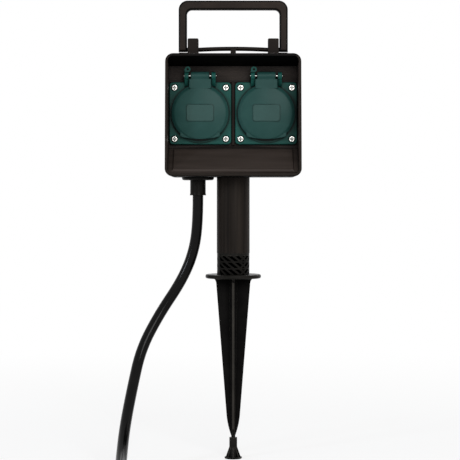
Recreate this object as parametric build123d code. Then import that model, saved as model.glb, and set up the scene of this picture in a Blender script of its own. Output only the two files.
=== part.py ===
"""Garden socket post: a hooded box with two lidded sockets on a tube with a ground spike.

Millimetres. X to the right, -Y to the front, +Z up. The origin is the centre of the
step plate's underside, where the post meets the soil.
"""

import os
from math import ceil, cos, hypot, pi, radians, sin, sqrt, tan

from build123d import *

# Clearances
cut_overrun = 1.0
fit_gap = 0.05
seat_gap = 0.1
free_gap = 0.3

# Socket box
box_side_gap = 0.65
box_top_narrowing = 0.8
box_bottom_z = 82.0
box_head_room = 21.0
box_corner = 6.3
box_front_y = -38.0
hood_wall = 1.8
rim_rounding = 1.0
shell_wall = 2.4
floor_front_y = -8.0
floor_thickness = 2.6
hood_drop = 6.0
cover_joint_y = 20.0
cover_depth = 8.0
cover_rounding = 3.0
gasket_thickness = 0.8

# Sloped sill under the sockets
sill_height = 23.0
sill_gap = 3.0
sill_ledge_depth = 4.5
sill_ledge_fall = 0.4
sill_foot_inset = 2.0
sill_foot_rise = 3.5
sill_side_inset = 4.0
sill_end_inset = 2.4
sill_relief = 0.8
sill_bevel_angle = 50.0

# Sockets
socket_gap = 3.1
flange_margin = 1.4
flange_corner = 3.0
flange_thickness = 3.2
flange_seal_margin = 0.6
screw_inset = 4.4
collar_wall = 1.4
collar_height = 1.4
ring_wall = 1.3
ring_height = 2.4
floor_hole_gap = 0.6
bar_width = 2.0
bar_height = 2.5
lip_height = 1.0
lip_depth = 1.6
lip_gap = 1.3

# Socket core with the round plug well
well_radius = 19.5
well_depth = 17.5
core_wall = 1.3
core_floor = 3.0
core_flange_width = 2.2
core_flange_thickness = 1.3
pin_pitch = 19.0
pin_hole_radius = 2.7
guide_rib_width = 5.0
guide_rib_height = 2.2
pillar_radius = 5.0
pillar_length = 8.0
contact_bore_radius = 2.45
contact_outer_radius = 3.3
terminal_size = 6.4
terminal_length = 6.0
wire_hole_radius = 1.45
terminal_screw_radius = 1.6
terminal_screw_length = 1.6
earth_strip_width = 6.0
earth_strip_thickness = 0.8
earth_clip_reach = 1.4
earth_clip_length = 4.0
earth_window_margin = 0.3
earth_post_size = 3.0

# Lids and their hinges
lid_overhang = 0.7
lid_edge_depth = 1.6
lid_bevel_width = 2.3
lid_bevel_depth = 3.2
lid_crown_depth = 5.2
lid_hollow_depth = 2.6
lid_seal_inset = 1.0
lid_seal_width = 2.5
lid_seal_land = 0.8
lid_seal_depth = 1.0
lip_half_width = 16.0
lip_trim = 2.0
lip_crown = 2.2
lip_top_drop = 10.0
lip_corner = 2.0
lip_thickness = 2.6
pad_width = 21.8
pad_height = 13.6
pad_corner = 0.6
pad_depth = 0.5
neck_half_width = 9.0
knuckle_half_width = 7.2
neck_thickness = 3.4
neck_narrowing_drop = 2.6
hinge_lift = 4.8
hinge_front = 7.8
knuckle_radius = 3.3
hinge_pin_radius = 1.1
hinge_pin_half_length = 13.3
ear_inner = 9.3
ear_outer = 12.4
ear_radius = 3.1
ear_foot_depth = 4.4
eye_offset = 9.9
eye_rise = 5.2
eye_radius = 2.3
eye_hole_radius = 0.9
eye_thickness = 2.0
spring_wire = 0.7
spring_mean_radius = 1.9
spring_pitch = 1.15
spring_length = 5.75
spring_leg = 5.0
spring_pocket_radius = 2.6
spring_pocket_half = 3.8

# Carrying handle
handle_inset = 9.5
handle_rise = 47.0
handle_foot_rise = 5.2
handle_bar = 7.8
handle_leg = 6.8
handle_depth = 7.0
handle_outer_corner = 7.5
handle_inner_corner = 4.0
handle_rounding = 1.9
pivot_y = 8.0
pivot_rise = 7.0
journal_radius = 1.8
tie_bar_radius = 1.75
tie_bar_bow = 0.8
lug_gap = 0.6
lug_width = 8.8
lug_rise = 16.0
lug_depth = 7.0
lug_corner = 1.0
lug_mouth = 3.0
lug_bore_gap = 0.08
pedestal_rise = 5.0
pedestal_depth = 13.0
pedestal_offset = 1.0
pedestal_back_depth = 4.6
cradle_half_width = 2.2
cradle_prong = 1.5
cradle_rise = 7.6

# Post tube and its two spigots
tube_radius = 13.3
tube_wall = 1.9
tube_foot_z = 20.4
spigot_wall = 2.5
spigot_length = 24.0
tube_screw_inset = 11.0

# Ground spike
plate_radius = 22.5
plate_thickness = 3.2
plate_rounding = 1.3
lattice_inset = 0.2
lattice_head = 2.0
lattice_ring = 1.3
lattice_core_radius = 7.6
lattice_core_bore = 5.2
lattice_rib = 1.7
lattice_rib_lean = 52.0
lattice_ribs = 7
lattice_turn_angle = 38.0
lattice_turn_rib = 4
lattice_post_angle = -62.0
lattice_post_width = 3.4
blade_thickness = 1.8
blade_half_width = 13.8
blade_shoulder_half_width = 5.35
blade_end_half_width = 1.7
blade_length = 127.3
blade_point_length = 15.8
blade_bulge = 0.5
blade_core_radius = 3.4
blade_flare = 2.2
blade_flare_height = 4.0
tip_end_radius = 0.7
tip_length = 7.7

# Foot cap on the tip
cap_gap = 1.7
cap_height = 17.0
cap_neck_radius = 3.15
cap_neck_length = 7.7
cap_base_radius = 7.0
cap_base_thickness = 1.3
cap_skirt_radius = 6.0
cap_core_radius = 4.4
cap_rib_width = 1.1
cap_ribs = 8

# Cable gland and cord grip
gland_gap = 2.3
gland_disc_radius = 13.0
gland_disc_thickness = 2.6
gland_disc_rounding = 1.7
gland_sleeve_radius = 6.3
gland_sleeve_length = 12.2
gland_sleeve_flare = 0.35
gland_flare_height = 2.0
gland_neck_radius = 8.0
gland_neck_rise = 4.6
locknut_width = 20.0
locknut_height = 4.0
gland_seal_radius = 6.6
grip_rise = 12.5
grip_post_radius = 3.0
grip_post_spread = 19.0
grip_bar_height = 6.0
grip_bar_depth = 5.0
grip_screw_reach = 9.0

# Screws: shank radius, head radius, head height, and the cross recess
screw_radius = 1.5
screw_head_radius = 2.35
screw_head_height = 1.7
screw_well_radius = 2.9
screw_well_depth = 1.6
flange_screw_length = 12.0
boss_radius = 3.2
boss_length = 8.4
cover_boss_radius = 4.4
cover_boss_inset = 6.5
cover_screw_head_radius = 3.0
cover_screw_length = 16.0
cover_well_depth = 3.4
cross_width = 1.0
cross_reach = 3.4
cross_depth = 1.1

# Cord
cord_diameter = 8.7
conductor_diameter = 2.4
conductor_spread_share = 0.8
bridge_step = 8.0
inlet_rise = 17.0
bend_share = 0.45
parallel_limit = 1e-9

# Coil, its tie and the plug
coil_centre_x = -27.4
coil_centre_y = -186.0
coil_least_radius = 38.0
coil_pitch = 9.3
coil_half_turns = 8
coil_layer_rise = 9.3
tie_thickness = 0.7
tie_width = 8.0
tie_gap = 0.3
plug_lead = 27.0
plug_radius = 18.5
plug_nose_length = 9.0
plug_grip_radius = 15.0
plug_shoulder_radius = 9.5
plug_grip_length = 26.0
plug_relief_radius = 6.4
plug_relief_length = 22.0
plug_nose_rounding = 1.2
plug_pin_radius = 2.4
plug_pin_length = 19.0
plug_pin_rounding = 1.2
plug_groove_width = 5.4
plug_groove_depth = 2.6
plug_strip_width = 4.4
plug_strip_depth = 1.0
plug_strip_length = 11.0

# Sizes that follow from the plug well: socket, then lid, then box
core_outer_radius = well_radius + core_wall
core_flange_radius = core_outer_radius + core_flange_width
floor_hole_radius = core_outer_radius + floor_hole_gap
collar_inner_radius = core_outer_radius + seat_gap
ring_outer_radius = collar_inner_radius + ring_wall
collar_outer_radius = ring_outer_radius + collar_wall
flange_size = 2 * (collar_outer_radius + flange_margin)
screw_spacing = flange_size - 2 * screw_inset
lid_radius = ring_outer_radius + lid_overhang
lid_bevel_radius = lid_radius - lid_bevel_width
lid_seal_outer_radius = lid_radius - lid_seal_inset
lid_seal_inner_radius = lid_seal_outer_radius - lid_seal_width
lid_hollow_radius = lid_seal_inner_radius - lid_seal_land
lip_drop = lid_radius - lip_trim
lip_gap_half = ear_outer + lip_gap
socket_pitch = flange_size + socket_gap
box_width = socket_pitch + flange_size + 2 * (hood_wall + box_side_gap)

# Places that follow from the sizes above
box_rear_y = cover_joint_y + cover_depth
sill_top_z = box_bottom_z + sill_height
socket_z = sill_top_z + sill_gap + flange_size / 2
box_top_z = socket_z + flange_size / 2 + box_head_room
floor_back_y = floor_front_y + floor_thickness
socket_centres = (-socket_pitch / 2, socket_pitch / 2)
flange_back_y = floor_front_y - gasket_thickness
flange_front_y = flange_back_y - flange_thickness
ring_front_y = flange_front_y - ring_height
lid_back_y = ring_front_y - free_gap
hinge_z = socket_z + flange_size / 2 + hinge_lift
hinge_y = floor_front_y - hinge_front
well_floor_y = ring_front_y + well_depth
core_back_y = well_floor_y + core_floor
pillar_back_y = core_back_y + pillar_length
handle_width = box_width - 2 * handle_inset
handle_top_z = box_top_z + handle_rise
handle_foot_z = box_top_z + handle_foot_rise
pivot_z = box_top_z + pivot_rise
lug_outer_x = handle_width / 2 - handle_leg - lug_gap
lug_inner_x = lug_outer_x - lug_width
lug_top_z = box_top_z + lug_rise
pedestal_top_z = box_top_z + pedestal_rise
cradle_top_z = box_top_z + cradle_rise
tube_bore_radius = tube_radius - tube_wall
spigot_radius = tube_bore_radius - seat_gap
spigot_bore_radius = spigot_radius - spigot_wall
box_spigot_foot_z = box_bottom_z - spigot_length
spike_spigot_top_z = tube_foot_z + spigot_length
lattice_radius = tube_radius - lattice_inset
lattice_top_z = tube_foot_z - lattice_head
lattice_row = (lattice_top_z - plate_thickness - 2 * lattice_ring) / 3
blade_end_z = -blade_length
blade_shoulder_z = blade_end_z + blade_point_length
tip_end_z = blade_end_z - tip_length
cap_top_z = blade_end_z - cap_gap
cap_neck_z = cap_top_z - cap_neck_length
cap_bottom_z = cap_top_z - cap_height
floor_z = cap_bottom_z
gland_x = -(tube_radius + gland_gap + gland_disc_radius)
gland_sleeve_end_z = box_bottom_z - gland_disc_thickness - gland_sleeve_length
grip_z = box_bottom_z + grip_rise
inlet_top_z = box_bottom_z + inlet_rise
cord_radius = cord_diameter / 2
cord_bore_radius = cord_radius + seat_gap
sill_ledge_y = floor_front_y - sill_ledge_depth
sill_ledge_z = sill_top_z - sill_ledge_fall
sill_foot_y = box_front_y + sill_foot_inset
sill_foot_z = box_bottom_z + sill_foot_rise
coil_floor_z = floor_z + tie_thickness + tie_gap + cord_radius
coil_outer_radius = coil_least_radius + coil_pitch * coil_half_turns / 4
coil_entry_x = coil_centre_x - coil_outer_radius
plug_axis_z = floor_z + plug_radius
plug_back_y = coil_centre_y - plug_lead - cord_diameter
plug_face_y = plug_back_y - plug_relief_length - plug_grip_length - plug_nose_length

# Route of the cord from the gland to the coil, chosen by hand
cord_route = [
    (gland_x, 0.0, gland_sleeve_end_z),
    (gland_x, 0.0, 44.0),
    (-32.3, 0.0, 20.0),
    (-42.0, 0.0, -2.5),
    (-59.5, -3.0, -28.5),
    (-74.0, -11.0, -56.0),
    (-80.0, -25.0, -85.0),
    (-84.5, -48.0, -113.0),
    (-85.0, -80.0, -133.5),
    (-83.4, -116.0, -141.6),
    (coil_entry_x, -148.0, coil_floor_z),
    (coil_entry_x, coil_centre_y + cord_diameter, coil_floor_z),
]


def along_x(sketch, start, end):
    """Prism from X start to end. The sketch's own x and y are Y and Z."""
    return extrude(Plane.YZ.offset(start) * sketch, amount=end - start, dir=(1, 0, 0))


def along_y(sketch, start, end):
    """Prism from Y start to end. The sketch's own x and y are X and Z."""
    return extrude(Plane.XZ.offset(-end) * sketch, amount=end - start, dir=(0, -1, 0))


def along_z(sketch, start, end):
    """Prism from Z start to end. The sketch's own x and y are X and Y."""
    return extrude(Plane.XY.offset(start) * sketch, amount=end - start, dir=(0, 0, 1))


def slab(x_range, y_range, z_range):
    """Plain box between three pairs of places."""
    low, high = zip(x_range, y_range, z_range)
    size = [b - a for a, b in zip(low, high)]
    middle = [(a + b) / 2 for a, b in zip(low, high)]
    return Pos(*middle) * Box(*size)


def centred(middle, width):
    """Pair of places, half the width on each side of the middle."""
    return (middle - width / 2, middle + width / 2)


def swept(path, radius):
    """Round rod along a path."""
    section = Plane(origin=path @ 0, z_dir=path % 0) * Circle(radius)
    return sweep(section, path=path)


def bend_radii(points):
    """Largest arc that each corner's two runs allow."""
    radii = []
    for before, here, after in zip(points, points[1:], points[2:]):
        run_in, run_out = here - before, after - here
        half_turn = radians(run_in.get_angle(run_out)) / 2
        radii.append(bend_share * min(run_in.length, run_out.length) / tan(half_turn))
    return radii


def box_outline(inset):
    """Front view of the box, drawn in by an inset, slightly narrower at the top."""
    foot = box_width / 2 - inset
    head = foot - box_top_narrowing / 2
    low, high = box_bottom_z + inset, box_top_z - inset
    outline = Polygon((-foot, low), (foot, low), (head, high), (-head, high), align=None)
    return fillet(outline.vertices(), box_corner - inset)


def cross_head(radius, height):
    """Screw head standing on the XY plane, with its cross recess from above."""
    head = Cylinder(radius, height, align=(Align.CENTER, Align.CENTER, Align.MIN))
    head = fillet(head.edges().group_by(Axis.Z)[-1], height / 4)
    recess = Rectangle(cross_reach, cross_width) + Rectangle(cross_width, cross_reach)
    return head - extrude(Plane.XY.offset(height) * recess, amount=-cross_depth)


def screw(length, head_radius=screw_head_radius):
    """Screw with its seat on the XY plane, its head above and its shank below."""
    shank = Cylinder(screw_radius, length, align=(Align.CENTER, Align.CENTER, Align.MAX))
    tip = shank.edges().group_by(Axis.Z)[0]
    return cross_head(head_radius, screw_head_height) + chamfer(tip, screw_radius / 2)


def facing_front(piece, x, y, z):
    """Turns a piece modelled upwards so that its top points to -Y."""
    return Pos(x, y, z) * Rot(X=90) * piece


def facing_back(piece, x, y, z):
    """Turns a piece modelled upwards so that its top points to +Y."""
    return Pos(x, y, z) * Rot(X=-90) * piece


def screw_places(centre):
    """Four flange screw places of one socket."""
    half = screw_spacing / 2
    return [(centre + a * half, socket_z + b * half) for a in (-1, 1) for b in (-1, 1)]


def cover_places():
    """Four cover screw places of the box."""
    x = box_width / 2 - cover_boss_inset
    low, high = box_bottom_z + cover_boss_inset, box_top_z - cover_boss_inset
    return [(a * x, z) for a in (-1, 1) for z in (low, high)]


# Front shell
def sill_panel():
    """Raised panel on the sill's slope, bevelled all round."""
    slope = hypot(sill_ledge_y - sill_foot_y, sill_ledge_z - sill_foot_z)
    middle = (0, (sill_ledge_y + sill_foot_y) / 2, (sill_ledge_z + sill_foot_z) / 2)
    normal = (0, sill_foot_z - sill_ledge_z, sill_ledge_y - sill_foot_y)
    width = box_width - 2 * hood_wall - 2 * sill_side_inset
    panel = Plane(origin=middle, x_dir=(1, 0, 0), z_dir=normal) * Rectangle(
        width, slope - sill_end_inset
    )
    return extrude(panel, amount=sill_relief, taper=sill_bevel_angle)


def hood_recess():
    """The open space under the hood: walls, sloping roof and sloping sill."""
    walls = along_y(box_outline(hood_wall), box_front_y - cut_overrun, floor_front_y)
    roof_front_z = box_top_z - hood_wall
    front = box_front_y - cut_overrun
    profile = Polygon(
        (front, roof_front_z),
        (floor_front_y, roof_front_z - hood_drop),
        (floor_front_y, sill_top_z),
        (sill_ledge_y, sill_ledge_z),
        (sill_foot_y, sill_foot_z),
        (front, box_bottom_z + hood_wall),
        align=None,
    )
    return walls & along_x(profile, -box_width / 2, box_width / 2)


def back_chamber():
    """The closed space behind the well floor, with the sill and roof hollowed out."""
    outline = box_outline(shell_wall)
    chamber = along_y(outline, floor_back_y, cover_joint_y + cut_overrun)
    rise, run = sill_ledge_z - sill_foot_z, sill_ledge_y - sill_foot_y
    drop = shell_wall * hypot(rise, run) / run
    low, high = box_bottom_z + shell_wall, sill_ledge_z - shell_wall
    foot_y = sill_foot_y + (low - (sill_foot_z - drop)) * run / rise
    head_y = sill_foot_y + (high - (sill_foot_z - drop)) * run / rise
    sill = Polygon(
        (floor_back_y + cut_overrun, low),
        (floor_back_y + cut_overrun, high),
        (head_y, high),
        (foot_y, low),
        align=None,
    )
    roof_z = box_top_z - shell_wall
    roof_low = box_top_z - hood_wall - hood_drop + shell_wall
    roof_run = (box_front_y - floor_front_y) * (roof_z - roof_low) / hood_drop
    roof = Polygon(
        (floor_back_y + cut_overrun, roof_z),
        (floor_back_y + cut_overrun, roof_low),
        (floor_back_y, roof_low),
        (floor_back_y + roof_run, roof_z),
        align=None,
    )
    reach = along_y(outline, box_front_y, cover_joint_y)
    half = box_width / 2
    return chamber + (reach & along_x(sill, -half, half)) + (reach & along_x(roof, -half, half))


def handle_lug(side):
    """Pedestal, upright lug and snap bore on one side of the box's top."""
    near, far = sorted((side * lug_inner_x, side * lug_outer_x))
    outer = sorted((side * lug_outer_x, side * handle_width / 2))
    root_z = box_top_z - shell_wall / 2
    middle_y = pivot_y + pedestal_offset
    back_y = middle_y + pedestal_depth / 2
    foot = slab((near, far), centred(middle_y, pedestal_depth), (root_z, pedestal_top_z))
    shelf = slab(outer, (back_y - pedestal_back_depth, back_y), (root_z, pedestal_top_z))
    front = Pos((near + far) / 2, (lug_top_z + root_z) / 2) * Rectangle(
        far - near, lug_top_z - root_z
    )
    front = fillet(front.vertices().group_by(Axis.Y)[-1], lug_corner)
    lug = along_y(front, pivot_y - lug_depth / 2, pivot_y + lug_depth / 2)
    bore = Pos(pivot_y, pivot_z) * Circle(journal_radius + lug_bore_gap)
    mouth = Pos(pivot_y + lug_depth / 2, pivot_z) * Rectangle(lug_depth, lug_mouth)
    cut = along_x(bore + mouth, near - cut_overrun, far + cut_overrun)
    return foot + shelf + lug - cut


def handle_cradle():
    """Forked rest under the middle of the handle's tie bar."""
    reach = tie_bar_radius + free_gap
    front_y = pivot_y - tie_bar_bow - reach
    back_y = pivot_y + reach
    fork = slab(
        (-cradle_half_width, cradle_half_width),
        (front_y - cradle_prong, back_y + cradle_prong),
        (box_top_z - shell_wall / 2, cradle_top_z),
    )
    gap = slab(
        (-box_width, box_width), (front_y, back_y), (pivot_z - reach, cradle_top_z + cut_overrun)
    )
    return fork - gap


def grip_saddle():
    """Two screw posts with a notched web, which the cord grip clamps the cable against."""
    head_z = grip_z + grip_post_radius
    start_y = sill_foot_y + (head_z - sill_foot_z) * (sill_ledge_y - sill_foot_y) / (
        sill_ledge_z - sill_foot_z
    )
    web = Pos((start_y + floor_front_y) / 2, grip_z) * Rectangle(floor_front_y - start_y, shell_wall)
    saddle = along_x(web, *centred(gland_x, grip_post_spread))
    for side in (-1, 1):
        place = Pos(gland_x + side * grip_post_spread / 2, grip_z)
        saddle += along_y(place * Circle(grip_post_radius), start_y, 0)
        pilot = place * Circle(screw_radius + fit_gap)
        saddle -= along_y(pilot, -grip_screw_reach, cut_overrun)
    return saddle


def front_shell():
    joint_y = cover_joint_y - gasket_thickness
    shell = along_y(box_outline(0), box_front_y, joint_y)
    rim = shell.faces().sort_by(Axis.Y)[0].edges()
    shell = fillet(rim, rim_rounding)
    shell -= hood_recess()
    shell -= back_chamber()
    shell += sill_panel()

    middle_y = floor_front_y + floor_thickness / 2
    half = screw_spacing / 2
    for centre in socket_centres:
        shell -= along_y(Pos(centre, socket_z) * Circle(floor_hole_radius), box_front_y, joint_y)
    for x, z in cover_places():
        shell += along_y(Pos(x, z) * Circle(cover_boss_radius), middle_y, cover_joint_y)
    for centre in socket_centres:
        for x, z in screw_places(centre):
            boss = Pos(x, z) * Circle(boss_radius)
            shell += along_y(boss, middle_y, floor_back_y + boss_length)
            pilot = Pos(x, z) * Circle(screw_radius + fit_gap)
            shell -= along_y(pilot, floor_front_y - cut_overrun, floor_back_y + boss_length)
    for x, z in cover_places():
        pilot = Pos(x, z) * Circle(screw_radius + fit_gap)
        shell -= along_y(pilot, floor_back_y + floor_thickness, cover_joint_y + cut_overrun)

    top_z = socket_z + flange_size / 2 + fit_gap
    bar_foot_z = sill_top_z + floor_thickness
    shell += slab(
        centred(0, bar_width), (floor_front_y - bar_height, middle_y), (bar_foot_z, top_z)
    )
    side_x = box_width / 2 - hood_wall - box_top_narrowing / 2 + fit_gap
    stops = [-side_x]
    for centre in socket_centres:
        stops += [centre - lip_gap_half, centre + lip_gap_half]
    stops.append(side_x)
    for left, right in zip(stops[::2], stops[1::2]):
        shell += slab(
            (left, right), (floor_front_y - lip_depth, middle_y), (top_z, top_z + lip_height)
        )

    for side in (-1, 1):
        shell += handle_lug(side)
    shell += handle_cradle()
    shell += grip_saddle()

    gland_hole = Pos(gland_x, 0) * Circle(gland_neck_radius + seat_gap)
    floor_top_z = box_bottom_z + shell_wall
    shell -= along_z(gland_hole, box_bottom_z - cut_overrun, floor_top_z + cut_overrun)
    spigot = Circle(spigot_radius) - Circle(spigot_bore_radius)
    shell += along_z(spigot, box_spigot_foot_z, box_bottom_z + fit_gap)
    screw_z = box_bottom_z - tube_screw_inset
    pilot = Pos(0, screw_z) * Circle(screw_radius + fit_gap)
    return shell - along_y(pilot, 0, tube_radius)


def rear_cover():
    cover = along_y(box_outline(0), cover_joint_y, box_rear_y)
    back = cover.faces().sort_by(Axis.Y)[-1].edges()
    cover = fillet(back, cover_rounding)
    inner_y = box_rear_y - shell_wall
    cover -= along_y(box_outline(shell_wall), cover_joint_y - cut_overrun, inner_y)
    for x, z in cover_places():
        cover += along_y(Pos(x, z) * Circle(cover_boss_radius), cover_joint_y, inner_y)
    for x, z in cover_places():
        hole = Pos(x, z) * Circle(screw_radius + seat_gap)
        well = Pos(x, z) * Circle(cover_screw_head_radius + free_gap)
        cover -= along_y(hole, cover_joint_y - cut_overrun, box_rear_y + cut_overrun)
        cover -= along_y(well, box_rear_y - cover_well_depth, box_rear_y + cut_overrun)
    return cover


def housing_seal():
    ring = box_outline(0) - box_outline(shell_wall)
    for x, z in cover_places():
        ring -= Pos(x, z) * Circle(cover_boss_radius + fit_gap)
    return along_y(ring, cover_joint_y - gasket_thickness, cover_joint_y)


def housing_screws():
    seat_y = box_rear_y - cover_well_depth
    piece = screw(cover_screw_length, cover_screw_head_radius)
    return [facing_back(piece, x, seat_y, z) for x, z in cover_places()]


# Sockets
def flange_outline(size):
    return RectangleRounded(size, size, flange_corner)


def flange_seal(centre):
    size = flange_size - flange_seal_margin
    plate = flange_outline(size) - Circle(floor_hole_radius)
    for x, z in screw_places(centre):
        plate -= Pos(x - centre, z - socket_z) * Circle(screw_radius + seat_gap)
    return along_y(Pos(centre, socket_z) * plate, flange_back_y, floor_front_y)


def hinge_ear(inner, outer):
    """One hinge ear of a socket frame, between two X places."""
    foot_z = socket_z + flange_size / 2 - ear_foot_depth
    disc = Pos(hinge_y, hinge_z) * Circle(ear_radius)
    web = Polygon(
        (flange_back_y, foot_z),
        (flange_back_y, hinge_z),
        (hinge_y, hinge_z + ear_radius),
        (hinge_y - ear_radius, hinge_z),
        (flange_front_y, foot_z),
        align=None,
    )
    return along_x(disc + web, inner, outer)


def socket_frame(centre):
    """Flange with a collar round the well, a sealing ring, hinge ears and an eye."""
    place = Pos(centre, socket_z)
    frame = along_y(place * flange_outline(flange_size), flange_front_y, flange_back_y)
    rim = frame.faces().sort_by(Axis.Y)[0].edges()
    frame = fillet(rim, flange_thickness / 4)
    collar = place * Circle(collar_outer_radius)
    collar_front_y = flange_front_y - collar_height
    frame += along_y(collar, collar_front_y, flange_front_y)
    frame += along_y(place * Circle(ring_outer_radius), ring_front_y, flange_front_y)
    for side in (-1, 1):
        inner, outer = sorted((centre + side * ear_inner, centre + side * ear_outer))
        frame += hinge_ear(inner, outer)
    eye_place = Pos(centre - eye_offset, hinge_z + eye_rise)
    eye_front_y = hinge_y - eye_thickness / 2
    eye = along_y(eye_place * Circle(eye_radius), eye_front_y, eye_front_y + eye_thickness)
    stem = slab(
        (centre - ear_outer, centre - ear_inner - fit_gap),
        (eye_front_y, eye_front_y + eye_thickness),
        (hinge_z, hinge_z + eye_rise),
    )
    frame += eye + stem
    hole = eye_place * Circle(eye_hole_radius)
    frame -= along_y(hole, eye_front_y - cut_overrun, eye_front_y + eye_thickness + cut_overrun)
    frame -= along_y(place * Circle(collar_inner_radius), ring_front_y, flange_back_y + cut_overrun)
    seat = place * Circle(core_flange_radius + seat_gap)
    seat_front_y = flange_back_y - core_flange_thickness - seat_gap
    frame -= along_y(seat, seat_front_y, flange_back_y + cut_overrun)
    for x, z in screw_places(centre):
        hole = Pos(x, z) * Circle(screw_radius + seat_gap)
        well = Pos(x, z) * Circle(screw_well_radius)
        frame -= along_y(hole, flange_front_y - cut_overrun, flange_back_y + cut_overrun)
        frame -= along_y(well, flange_front_y - cut_overrun, flange_front_y + screw_well_depth)
    bore = Pos(hinge_y, hinge_z) * Circle(hinge_pin_radius + fit_gap)
    return frame - along_x(bore, centre - flange_size, centre + flange_size)


def contact_places(centre):
    return [(centre + side * pin_pitch / 2, socket_z) for side in (-1, 1)]


def socket_core(centre):
    """Round well with guide ribs, pin holes and two contact pillars behind."""
    place = Pos(centre, socket_z)
    front_y = ring_front_y + seat_gap
    core = along_y(place * Circle(core_outer_radius), front_y, core_back_y)
    flange_y = flange_back_y - core_flange_thickness
    core += along_y(place * Circle(core_flange_radius), flange_y, flange_back_y)
    core -= along_y(place * Circle(well_radius), front_y - cut_overrun, well_floor_y)
    for side in (-1, 1):
        near, far = well_radius - guide_rib_height, well_radius + fit_gap
        reach = sorted((centre + side * near, centre + side * far))
        core += slab(reach, (flange_y, core_back_y), centred(socket_z, guide_rib_width))
    pocket_radius = contact_outer_radius + seat_gap
    for x, z in contact_places(centre):
        core += along_y(Pos(x, z) * Circle(pillar_radius), core_back_y - fit_gap, pillar_back_y)
    for x, z in contact_places(centre):
        pocket = Pos(x, z) * Circle(pocket_radius)
        core -= along_y(pocket, core_back_y, pillar_back_y + cut_overrun)
        core -= along_y(Pos(x, z) * Circle(pin_hole_radius), front_y, core_back_y + cut_overrun)
    window = earth_strip_width + 2 * earth_window_margin
    window_y = (floor_back_y, floor_back_y + earth_clip_length + 3 * seat_gap)
    for side in (-1, 1):
        near, far = well_radius - earth_clip_reach - cut_overrun, core_outer_radius + cut_overrun
        window_z = sorted((socket_z + side * near, socket_z + side * far))
        core -= slab(centred(centre, window), window_y, window_z)
    return core


def line_contacts(centre):
    """Two spring sleeves with terminals, each cross-drilled for its wires."""
    contacts = []
    for x, z in contact_places(centre):
        sleeve_ring = Pos(x, z) * (Circle(contact_outer_radius) - Circle(contact_bore_radius))
        sleeve = along_y(sleeve_ring, core_back_y, pillar_back_y + fit_gap)
        sleeve += terminal(x, pillar_back_y)
        contacts.append(sleeve)
    return contacts


def terminal(x, front_y):
    """Terminal cube with an upright wire hole and a clamping screw at its back."""
    back_y = front_y + terminal_length
    cube = slab(centred(x, terminal_size), (front_y, back_y), centred(socket_z, terminal_size))
    head = along_y(
        Pos(x, socket_z) * Circle(terminal_screw_radius), back_y, back_y + terminal_screw_length
    )
    hole = Pos(x, front_y + terminal_length / 2) * Circle(wire_hole_radius)
    drilled = along_z(hole, socket_z - terminal_size, socket_z + terminal_size)
    return cube + head - drilled


def earth_bracket(centre):
    """Strip round the core's back, ending in two sprung clips, with a terminal."""
    outer = core_outer_radius + seat_gap + earth_strip_thickness
    inner = core_outer_radius + seat_gap
    bar_front_y = core_back_y + seat_gap
    bar_back_y = bar_front_y + earth_strip_thickness
    clip_front_y = floor_back_y + seat_gap
    half = earth_strip_width / 2
    across = (centre - half, centre + half)
    bracket = slab(across, (bar_front_y, bar_back_y), centred(socket_z, 2 * outer))
    for side in (-1, 1):
        arm_z = sorted((socket_z + side * inner, socket_z + side * outer))
        bracket += slab(across, (clip_front_y, bar_back_y), arm_z)
        tip = well_radius - earth_clip_reach
        clip = Polygon(
            (clip_front_y, socket_z + side * outer),
            (clip_front_y, socket_z + side * (well_radius + fit_gap)),
            (clip_front_y + earth_clip_length / 2, socket_z + side * tip),
            (clip_front_y + earth_clip_length, socket_z + side * (well_radius + fit_gap)),
            (clip_front_y + earth_clip_length, socket_z + side * outer),
            align=None,
        )
        bracket += along_x(clip, *across)
    post = centred(centre, earth_post_size)
    post_y = (bar_back_y - fit_gap, pillar_back_y + fit_gap)
    bracket += slab(post, post_y, centred(socket_z, earth_post_size))
    return bracket + terminal(centre, pillar_back_y)


def flange_screws(centre):
    seat_y = flange_front_y + screw_well_depth
    piece = screw(flange_screw_length)
    return [facing_front(piece, x, seat_y, z) for x, z in screw_places(centre)]


def hinge_pin(centre):
    pin = along_x(
        Pos(hinge_y, hinge_z) * Circle(hinge_pin_radius),
        centre - hinge_pin_half_length,
        centre + hinge_pin_half_length,
    )
    ends = pin.edges().filter_by(GeomType.CIRCLE)
    return chamfer(ends, hinge_pin_radius / 4)


def lid_spring(centre):
    """Torsion spring round the hinge pin, with one leg down against the frame."""
    coil = Helix(spring_pitch, spring_length, spring_mean_radius, direction=(1, 0, 0))
    coil = Pos(centre - spring_length / 2, hinge_y, hinge_z) * Rot(X=-90) * coil
    start, heading = coil @ 0, coil % 0
    leg = Line(start - heading * spring_leg, start)
    path = Wire([leg.edge(), coil.edge()])
    section = Plane(origin=path @ 0, z_dir=path % 0) * Circle(spring_wire / 2)
    return sweep(section, path=path, is_frenet=True)


# Lids
def lid_seal(centre):
    ring = Pos(centre, socket_z) * (Circle(lid_seal_outer_radius) - Circle(lid_seal_inner_radius))
    return along_y(ring, lid_back_y - lid_seal_depth, lid_back_y)


def lid_dome():
    """Bevelled, crowned disc modelled upwards from its back plane."""
    hollow = lid_hollow_radius
    crown = ThreePointArc(
        (lid_bevel_radius, lid_bevel_depth),
        (lid_bevel_radius / 2, lid_bevel_depth + (lid_crown_depth - lid_bevel_depth) * 3 / 4),
        (0, lid_crown_depth),
    )
    edge = Polyline(
        (0, lid_hollow_depth),
        (hollow - lid_hollow_depth / 2, lid_hollow_depth),
        (hollow, 0),
        (lid_radius, 0),
        (lid_radius, lid_edge_depth),
        (lid_bevel_radius, lid_bevel_depth),
    )
    axis_line = Line((0, lid_crown_depth), (0, lid_hollow_depth))
    profile = make_face([*edge.edges(), *crown.edges(), *axis_line.edges()])
    return revolve(Plane.XZ * profile, Axis.Z)


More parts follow.
